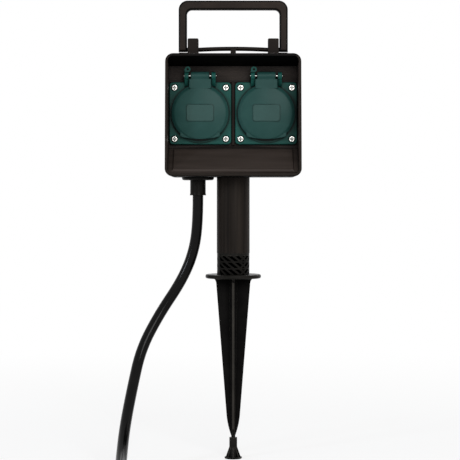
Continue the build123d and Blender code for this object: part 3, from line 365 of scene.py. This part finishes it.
# The handle is polypropylene too, its flats a little browner and satin. Its darker edge colour paints
# shade where the edges round off.
handle_plastic = moulded(
    "handle_polypropylene",
    "#221c19",
    "#2c2520",
    roughness=0.36,
    specular=0.04,
    grain=0.8,
    relief=0.04,
    edge="#1a1613",
    soft_edge=0.8,
)
# Its rolled edges are glossier than its flats and painted darker, as painted shade where they turn away
# from the light.
handle_shaded_edge_plastic = moulded(
    "handle_polypropylene_glossy_painted_shade",
    "#0b0a09",
    "#110f0d",
    roughness=0.3,
    specular=0.04,
    grain=0.8,
    relief=0.03,
)
# Polyamide of the gland: black and smooth, with a soft shine down its sleeve.
gland_plastic = moulded(
    "gland_polyamide",
    "#0f0e0d",
    "#181614",
    roughness=0.3,
    specular=0.045,
    grain=1.2,
    relief=0.03,
    edge="#2c2926",
)
# Dark teal polypropylene: the lids are smooth, the frames eroded and a touch deeper.
lid_plastic = moulded(
    "lid_polypropylene_teal",
    "#1b3d39",
    "#22433f",
    roughness=0.4,
    specular=0.11,
    grain=0.9,
    relief=0.025,
    edge="#254541",
    shade=0.8,
    soft_edge=1.4,
)
# The frames get strong painted shade in their recesses, and their pale edge colour paints a highlight
# along their edges.
frame_plastic = moulded(
    "frame_polypropylene_teal",
    "#12443d",
    "#184c45",
    roughness=0.43,
    specular=0.1,
    grain=0.6,
    relief=0.05,
    edge="#2b625a",
    shade=0.2,
)
# The collar that each lid rests round is the deepest green: it lies in the lid's shadow.
collar_plastic = moulded(
    "collar_polypropylene_teal",
    "#0a302b",
    "#0d3630",
    roughness=0.42,
    specular=0.1,
    grain=0.6,
    relief=0.05,
)
# The bevel round each lid is painted paler than the crown: painted light on its flank, which the hood
# keeps in shade.
rim_plastic = moulded(
    "lid_rim_polypropylene_teal",
    "#214a44",
    "#275049",
    roughness=0.38,
    specular=0.12,
    grain=0.9,
    relief=0.02,
    edge="#264f49",
    shade=0.8,
    soft_edge=1.4,
)
# The bare field on each lid is a shade paler, with a matt skin.
field_plastic = moulded(
    "field_polypropylene_teal",
    "#24413d",
    "#2a4844",
    roughness=0.52,
    specular=0.18,
    grain=0.5,
    relief=0.05,
    edge="#355751",
)
# Polyamide of the socket cores and other inner parts: plain satin black.
core_plastic = moulded(
    "core_polyamide_black",
    "#0f0f0f",
    "#171615",
    roughness=0.5,
    specular=0.2,
    grain=0.6,
    relief=0.04,
    edge="#2e2c2a",
)
# Rubber sheath of the cable: smooth and black, with one narrow line of gloss.
cable_rubber = moulded(
    "cable_rubber", "#070707", "#0e0d0d", roughness=0.13, specular=0.09, grain=0.8, relief=0.02
)
# Moulded rubber of the plug: a soft, dull sheen.
plug_rubber = moulded(
    "plug_rubber_moulded",
    "#141414",
    "#1c1c1c",
    roughness=0.46,
    specular=0.2,
    grain=0.6,
    relief=0.05,
    edge="#2d2d2d",
)
# Cut EPDM of the seals: flat black with hardly any sheen.
seal_rubber = moulded(
    "seal_epdm", "#0b0b0b", "#131313", roughness=0.62, specular=0.2, grain=0.5, relief=0.05
)
# Woven nylon of the coil's tie: rough and a little mottled.
tie_plastic = moulded(
    "tie_nylon_webbing", "#101010", "#202020", roughness=0.7, specular=0.2, grain=0.9, relief=0.12
)
# Soft PVC of the single wires, in the three usual colours.
wire_brown = moulded(
    "wire_pvc_brown", "#3a1a0a", "#48210f", roughness=0.4, specular=0.3, grain=0.8, relief=0.02
)
wire_blue = moulded(
    "wire_pvc_blue", "#0b3a86", "#10479c", roughness=0.4, specular=0.3, grain=0.8, relief=0.02
)
wire_green = moulded(
    "wire_pvc_green_yellow",
    "#2f6b1f",
    "#c8b414",
    roughness=0.4,
    specular=0.3,
    grain=0.8,
    relief=0.02,
)
# Bright zinc on steel, nickel on brass and plain drawn brass. Their marks are drawn at 0.3 to 0.4 mm,
# because real ones are too fine to show.
zinc = metal("screw_steel_bright_zinc", "#e2e3df", "#c8c8c0", roughness=0.24, grain=0.4)
nickel = metal("pin_brass_nickel_plated", "#d9d2c6", "#c9c1b2", roughness=0.2, grain=0.3)
brass = metal("contact_brass", "#cdb484", "#b99d68", roughness=0.3, grain=0.3)

wears = {
    "front_shell": housing,
    "rear_cover": housing,
    "housing_seal": seal_rubber,
    "housing_screws": zinc,
    "post_tube": tube_plastic,
    "tube_screws": zinc,
    "ground_spike": spike_plastic,
    "tip_cap": spike_plastic,
    "handle": handle_plastic,
    "cable_gland": gland_plastic,
    "gland_seal": seal_rubber,
    "gland_nut": core_plastic,
    "cord_grip": core_plastic,
    "cord_grip_screws": zinc,
    "cord_inlet": cable_rubber,
    "cord_tie": tie_plastic,
    "plug_body": plug_rubber,
    "plug_pins": nickel,
    "plug_earth_contacts": brass,
    "line_wires": wire_brown,
    "neutral_wires": wire_blue,
    "earth_wires": wire_green,
    "socket_frame": frame_plastic,
    "socket_core": core_plastic,
    "flange_seal": seal_rubber,
    "flange_screws": zinc,
    "line_contacts": brass,
    "earth_bracket": brass,
    "hinge_pin": zinc,
    "lid_spring": zinc,
    "lid": lid_plastic,
    "lid_seal": seal_rubber,
}


def dress(piece, *materials):
    """Gives a piece its materials, of which its faces wear the first."""
    piece.data.materials.clear()
    for material in materials:
        piece.data.materials.append(material)


def centres(piece):
    """Each face of a piece with its centre in mm."""
    for face in piece.data.polygons:
        yield face, [c / mm for c in piece.matrix_world @ face.center]


for name, node in nodes.items():
    kind = name.removeprefix("left_").removeprefix("right_")
    if kind in wears:
        dress(node, wears[kind])


def finish_shell():
    """The inside of the hood is smoother and partly painted paler as light; painted shade makes its roof
    and the box's underside black and its rim dark.
    """
    shell = nodes["front_shell"]
    dress(shell, housing, well_plastic, roof_plastic, brow_plastic)
    plain, well, roof, brow = range(4)
    inside_front, inside_back = -37.0, -7.5
    inside_low, inside_top, inside_half_width = 83.5, 178.0, 52.4
    # The bar between the two flanges keeps the plain finish
    bar_half_width = 1.2
    roof_low, well_top, box_bottom = 165.0, 172.0, 84.0
    brow_front, brow_low, brow_half_width = -37.5, 175.5, 50.0
    downward_normal = -0.5
    for face, (x, y, z) in centres(shell):
        looks_down = face.normal.z < downward_normal
        in_hood = inside_front < y < inside_back and inside_low < z < inside_top
        if in_hood and bar_half_width < abs(x) < inside_half_width:
            if looks_down:
                face.material_index = roof if z > roof_low else plain
            elif z < well_top:
                face.material_index = well
        elif z < box_bottom and looks_down:
            face.material_index = roof
        elif y < brow_front and z > brow_low and abs(x) < brow_half_width:
            face.material_index = brow


def finish_handle():
    """All faces of the handle but its flat front and back are glossier and painted darker as shade."""
    handle = nodes["handle"]
    dress(handle, handle_plastic, handle_shaded_edge_plastic)
    glossy_shaded = 1
    flat_normal = 0.97
    for face in handle.data.polygons:
        if abs(face.normal.y) < flat_normal:
            face.material_index = glossy_shaded


def finish_spike():
    """The spike's plate keeps the plain finish. Its lattice collar and its blades have their own, with
    painted shade in the collar's pockets and at its ribs' edges, and a painted highlight on the blades'
    outer edges.
    """
    spike = nodes["ground_spike"]
    dress(spike, spike_plastic, pocket_plastic, blade_highlight_plastic, rib_plastic, blade_plastic)
    pocket, blade_edge, rib, blade = range(1, 5)
    collar_low, rib_top, pocket_top = 2.9, 18.5, 20.0
    pocket_radius, rib_radius = 12.2, 12.7
    blade_top, blade_half_thickness = -1.0, 0.7
    outward_normal, upright_normal = 0.96, 0.1
    for face, (x, y, z) in centres(spike):
        radius = hypot(x, y)
        on_blade_plane = min(abs(x), abs(y)) < blade_half_thickness
        looks_outwards = max(abs(face.normal.x), abs(face.normal.y)) > outward_normal
        stands_upright = abs(face.normal.z) < upright_normal
        if collar_low < z < pocket_top and radius < pocket_radius:
            face.material_index = pocket
        elif collar_low < z < rib_top and stands_upright and radius > rib_radius:
            face.material_index = rib
        elif z < blade_top and on_blade_plane and looks_outwards:
            face.material_index = blade_edge
        elif z < blade_top:
            face.material_index = blade


def finish_lid(side, centre_x):
    """The bevel round a lid is painted paler than its crown, as painted light."""
    lid = nodes[side + "_lid"]
    dress(lid, lid_plastic, rim_plastic)
    painted_light_bevel = 1
    bevel_inside, bevel_outside = 20.0, 23.4
    crown_normal, side_normal = -0.8, -0.3
    for face, (x, y, z) in centres(lid):
        radius = hypot(x - centre_x, z - socket_z)
        on_bevel = crown_normal < face.normal.y < side_normal
        if bevel_inside < radius < bevel_outside and on_bevel:
            face.material_index = painted_light_bevel


def finish_collar(side, centre_x):
    """The raised collar of a socket frame is deeper green than its flange: a painted shadow of the lid.
    """
    socket_frame = nodes[side + "_socket_frame"]
    dress(socket_frame, frame_plastic, collar_plastic)
    deep_green = 1
    flange_front, collar_radius = -12.1, 23.8
    for face, (x, y, z) in centres(socket_frame):
        if y < flange_front and hypot(x - centre_x, z - socket_z) < collar_radius:
            face.material_index = deep_green


finish_shell()
finish_handle()
finish_spike()
for side, centre_x in sockets:
    finish_lid(side, centre_x)
    finish_collar(side, centre_x)

# Mains cable
cable_diameter = 8.7 * mm
coil_centre = (-27.4, -186.0)
coil_least_radius = 38.0
coil_pitch = 9.3
coil_turns = 4
coil_layer_rise = 9.3
coil_low_z = -140.65
coil_points_a_turn = 24
coil_start_angle = 180
# Angle over which the coil climbs from its lower layer to its upper one
coil_climb_angle = 180
cable_exit = (-28.6, 0.0, 67.2)
# Down from the gland, out to the left, then forward along the floor into the coil
cable_route = [
    cable_exit,
    (-28.6, 0.0, 44.0),
    (-32.3, 0.0, 20.0),
    (-42.0, 0.0, -2.5),
    (-59.5, -3.0, -28.5),
    (-74.0, -11.0, -56.0),
    (-80.0, -25.0, -85.0),
    (-84.5, -48.0, -113.0),
    (-85.0, -80.0, -133.5),
    (-83.4, -116.0, -141.6),
    (-84.0, -148.0, coil_low_z),
    (-84.0, -177.3, coil_low_z),
]
# Off the coil's upper layer and into the plug
plug_lead = [
    (-84.0, -196.0, -131.3),
    (-84.0, -206.0, -129.4),
    (-84.0, -214.0, -127.5),
    (-84.0, -221.7, -127.5),
]


def coil_points():
    """Four turns: they spiral in on the floor, climb one layer and spiral out again."""
    step = 360 / coil_points_a_turn
    # A curve runs inside its control points, so they stand a little further out
    outwards = 1 / cos(radians(step / 2))
    middle = coil_turns * 360 / 2
    points = []
    for n in range(coil_turns * coil_points_a_turn + 1):
        away = n * step - middle
        radius = (coil_least_radius + coil_pitch * abs(away) / 360) * outwards
        climb = min(max(away / coil_climb_angle + 0.5, 0), 1)
        eased = climb**2 * (3 - 2 * climb)
        around = radians(coil_start_angle + n * step)
        x = coil_centre[0] + radius * cos(around)
        y = coil_centre[1] + radius * sin(around)
        z = coil_low_z + coil_layer_rise * eased
        points.append((x, y, z))
    return points


def mains_cable():
    """One round cable from the gland through its coil to the plug."""
    line = bpy.data.curves.new("mains_cable", "CURVE")
    line.dimensions = "3D"
    line.bevel_depth = cable_diameter / 2
    line.bevel_resolution = 6
    line.resolution_u = 6
    line.use_fill_caps = True
    spline = line.splines.new("NURBS")
    points = cable_route + coil_points() + plug_lead
    spline.points.add(len(points) - 1)
    for point, place in zip(spline.points, points):
        point.co = metres(place) + [1.0]
    spline.order_u = 3
    spline.use_endpoint_u = True
    piece = bpy.data.objects.new("mains_cable", line)
    scene.collection.objects.link(piece)
    dress(piece, cable_rubber)
    return piece


cable = mains_cable()
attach(cable, "post")
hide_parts("cord_run", "cord_coil")

# Moulded detail, with its sizes and places in mm
ridge_count = 8
ridge_pitch = 1.35
ridge_size = (102.6, 0.36, 0.5)
lowest_ridge = (0, -8.0, 160.4)

relief_ring_count = 5
relief_ring_pitch = 3.6
relief_ring_radius = 6.35
relief_ring_thickness = 0.55
last_ring_share = 0.84
first_relief_ring = (-84.0, -241.0, -127.5)

field_width = 21.4
field_height = 13.2
field_corner_radius = 0.8
field_edge_radius = 0.12
field_front = -20.0
field_back = -18.9


def repeat_tree(name):
    """New tree for a row of copies. It ends in one geometry and gets its sizes as named inputs."""
    tree = bpy.data.node_groups.new(name, "GeometryNodeTree")
    tree.interface.new_socket("Geometry", in_out="OUTPUT", socket_type="NodeSocketGeometry")
    return tree


def size_input(tree, name, kind, value):
    made = tree.interface.new_socket(name, in_out="INPUT", socket_type="NodeSocket" + kind)
    made.default_value = value


def line_of(tree, given, shape, scale, material):
    """Ends a tree: copies of a shape on a line of points, made real, with their material."""
    points = add(
        tree,
        "GeometryNodeMeshLine",
        {"Count": given["Count"], "Start Location": given["Start"], "Offset": given["Step"]},
        mode="OFFSET",
    )
    copies = add(
        tree,
        "GeometryNodeInstanceOnPoints",
        {"Points": points.outputs[0], "Instance": shape, "Scale": scale},
    )
    real = add(tree, "GeometryNodeRealizeInstances", {"Geometry": copies.outputs[0]})
    coat = add(tree, "GeometryNodeSetMaterial", {"Geometry": real.outputs[0]})
    coat.inputs["Material"].default_value = material
    add(tree, "NodeGroupOutput", {"Geometry": coat.outputs[0]})


def bars(name, count, start, step, size, material):
    """Row of equal bars, sizes in mm."""
    tree = repeat_tree(name)
    size_input(tree, "Count", "Int", count)
    size_input(tree, "Start", "Vector", metres(start))
    size_input(tree, "Step", "Vector", metres(step))
    size_input(tree, "Size", "Vector", metres(size))
    given = add(tree, "NodeGroupInput").outputs
    cube = add(tree, "GeometryNodeMeshCube", {"Size": given["Size"]})
    line_of(tree, given, cube.outputs[0], (1, 1, 1), material)
    return tree


def rings(name, count, start, step, radius, thickness, last_scale, material):
    """Row of rings round the Y axis that shrink evenly to a last scale, sizes in mm."""
    tree = repeat_tree(name)
    size_input(tree, "Count", "Int", count)
    size_input(tree, "Start", "Vector", metres(start))
    size_input(tree, "Step", "Vector", metres(step))
    size_input(tree, "Radius", "Float", radius * mm)
    size_input(tree, "Thickness", "Float", thickness * mm)
    size_input(tree, "Last Scale", "Float", last_scale)
    given = add(tree, "NodeGroupInput").outputs
    hoop = add(
        tree, "GeometryNodeCurvePrimitiveCircle", {"Resolution": 48, "Radius": given["Radius"]}
    )
    bead = add(
        tree, "GeometryNodeCurvePrimitiveCircle", {"Resolution": 10, "Radius": given["Thickness"]}
    )
    solid = add(
        tree,
        "GeometryNodeCurveToMesh",
        {"Curve": hoop.outputs[0], "Profile Curve": bead.outputs[0]},
    )
    upright = add(
        tree, "GeometryNodeTransform", {"Geometry": solid.outputs[0], "Rotation": (pi / 2, 0, 0)}
    )
    index = add(tree, "GeometryNodeInputIndex")
    last = add(tree, "ShaderNodeMath", {0: given["Count"], 1: 1.0}, operation="SUBTRACT")
    scale = add(
        tree,
        "ShaderNodeMapRange",
        {
            "Value": index.outputs[0],
            "From Max": last.outputs[0],
            "To Min": 1.0,
            "To Max": given["Last Scale"],
        },
    )
    line_of(tree, given, upright.outputs[0], scale.outputs[0], material)
    return tree


def grown(name, tree, body):
    """Runs a tree and keeps its result as a plain piece that rides on a body."""
    holder = bpy.data.objects.new(name, bpy.data.meshes.new(name))
    scene.collection.objects.link(holder)
    maker = holder.modifiers.new(name, "NODES")
    maker.node_group = tree
    settled = holder.evaluated_get(bpy.context.evaluated_depsgraph_get())
    mesh = bpy.data.meshes.new_from_object(settled)
    holder.modifiers.remove(maker)
    holder.data = mesh
    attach(holder, body)
    return holder


# Fine ridges across the well floor above the flanges, which stand out of it by about 0.2 mm
ridge_row = bars(
    "well_floor_ridges", ridge_count, lowest_ridge, (0, 0, ridge_pitch), ridge_size, well_plastic
)
grown("well_floor_ridges", ridge_row, "post")

# Bend relief of the plug: five soft rings that shrink towards the cable
ring_row = rings(
    "plug_relief_rings",
    relief_ring_count,
    first_relief_ring,
    (0, relief_ring_pitch, 0),
    relief_ring_radius,
    relief_ring_thickness,
    last_ring_share,
    plug_rubber,
)
grown("plug_relief_rings", ring_row, "post")


def lid_field(side, centre_x):
    """Bare flat field on a lid's crown, with softened edges."""
    middle_y = (field_front + field_back) / 2
    depth = field_back - field_front
    mesh = bmesh.new()
    bmesh.ops.create_cube(mesh, size=1.0)
    for vertex in mesh.verts:
        vertex.co.x = centre_x + vertex.co.x * field_width
        vertex.co.y = middle_y + vertex.co.y * depth
        vertex.co.z = socket_z + vertex.co.z * field_height
    corners = [e for e in mesh.edges if abs(e.verts[0].co.y - e.verts[1].co.y) > depth / 2]
    bmesh.ops.bevel(mesh, geom=corners, offset=field_corner_radius, segments=4, affect="EDGES")
    front = [e for e in mesh.edges if all(v.co.y < middle_y for v in e.verts)]
    bmesh.ops.bevel(mesh, geom=front, offset=field_edge_radius, segments=2, affect="EDGES")
    for vertex in mesh.verts:
        vertex.co *= mm
    data = bpy.data.meshes.new(side + "_lid_field")
    mesh.to_mesh(data)
    mesh.free()
    piece = bpy.data.objects.new(side + "_lid_field", data)
    scene.collection.objects.link(piece)
    dress(piece, field_plastic)
    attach(piece, side + "_lid")


for side, centre_x in sockets:
    lid_field(side, centre_x)

# Floor, light and camera, with their places in metres
white = "#ffffff"
floor_half_width = 30
# Near the post a share of the floor's white is glow, and further away all of it is, like the world
near_distance, near_glow = 0.25, 0.62
far_distance, far_glow = 0.9, 1.0
# The white world lights the post at half the strength at which the camera sees it
lighting_strength, seen_strength = 0.5, 1.0
camera_place = (0.0, -1.25, 0.0633)
camera_lens = 120.6
camera_shift = (-0.007, -0.065)
# Name, place, aim, width, watts and colour of each lamp
lamps = [
    ("key", (0.45, -1.9, 0.75), (0.0, 0.0, 0.1), 0.9, 20, white),
    ("fill", (-1.3, -1.2, 0.5), (0.0, 0.0, 0.05), 0.25, 7, "#eaf3ff"),
    ("back", (0.2, 1.6, 1.2), (0.0, 0.0, 0.05), 1.4, 12, white),
]


def either(tree, first, second):
    """1 where either of two ray flags is set, and otherwise 0."""
    total = add(tree, "ShaderNodeMath", {0: first, 1: second}, operation="ADD", use_clamp=True)
    return total.outputs[0]


def pale_floor():
    """White sweep that takes the post's shadow and has no edge or horizon."""
    plane = bpy.data.meshes.new("floor")
    mesh = bmesh.new()
    bmesh.ops.create_grid(mesh, x_segments=1, y_segments=1, size=floor_half_width)
    mesh.to_mesh(plane)
    mesh.free()
    piece = bpy.data.objects.new("floor", plane)
    piece.location = (0, 0, floor_z)
    scene.collection.objects.link(piece)
    material = bpy.data.materials.new("floor_white_sweep")
    material.use_nodes = True
    tree = material.node_tree
    surface = tree.nodes["Principled BSDF"]
    surface.inputs["Base Color"].default_value = linear(white)
    surface.inputs["Roughness"].default_value = 0.9
    surface.inputs["Specular IOR Level"].default_value = 0.0
    glow = add(tree, "ShaderNodeEmission", {"Color": linear(white), "Strength": 1.0})
    place = add(tree, "ShaderNodeTexCoord").outputs["Object"]
    away = add(tree, "ShaderNodeVectorMath", {0: place}, operation="LENGTH")
    plain = add(
        tree,
        "ShaderNodeMapRange",
        {
            "Value": away.outputs["Value"],
            "From Min": near_distance,
            "From Max": far_distance,
            "To Min": near_glow,
            "To Max": far_glow,
        },
    )
    lit = add(
        tree,
        "ShaderNodeMixShader",
        {"Fac": plain.outputs[0], 1: surface.outputs[0], 2: glow.outputs[0]},
    )
    rays = add(tree, "ShaderNodeLightPath").outputs
    seen = either(tree, rays["Is Camera Ray"], rays["Is Glossy Ray"])
    final = add(tree, "ShaderNodeMixShader", {"Fac": seen, 1: surface.outputs[0], 2: lit.outputs[0]})
    tree.links.new(final.outputs[0], tree.nodes["Material Output"].inputs["Surface"])
    dress(piece, material)


def studio_light():
    """White world and three soft lamps."""
    world = bpy.data.worlds.new("white_studio")
    world.use_nodes = True
    tree = world.node_tree
    background = tree.nodes["Background"]
    rays = add(tree, "ShaderNodeLightPath").outputs
    seen = either(tree, rays["Is Camera Ray"], rays["Is Glossy Ray"])
    seen_or_through = either(tree, seen, rays["Is Transmission Ray"])
    strength = add(
        tree,
        "ShaderNodeMapRange",
        {"Value": seen_or_through, "To Min": lighting_strength, "To Max": seen_strength},
    )
    background.inputs["Color"].default_value = linear(white)
    tree.links.new(strength.outputs[0], background.inputs["Strength"])
    scene.world = world
    for name, place, aim, width, watts, colour in lamps:
        light = bpy.data.lights.new(name, "AREA")
        light.size = width
        light.energy = watts
        light.color = linear(colour)[:3]
        lamp = bpy.data.objects.new(name, light)
        lamp.location = place
        lamp.rotation_euler = (Vector(aim) - Vector(place)).to_track_quat("-Z", "Y").to_euler()
        scene.collection.objects.link(lamp)


def camera():
    """Level camera straight before the post, shifted to the framing of the reference picture."""
    view = bpy.data.cameras.new("camera")
    view.sensor_width = 36.0
    view.lens = camera_lens
    view.shift_x, view.shift_y = camera_shift
    view.clip_start = 0.05
    view.clip_end = 60.0
    holder = bpy.data.objects.new("camera", view)
    holder.location = camera_place
    holder.rotation_euler = (radians(90), 0, 0)
    scene.collection.objects.link(holder)
    scene.camera = holder


pale_floor()
studio_light()
camera()
scene.view_settings.view_transform = "Standard"
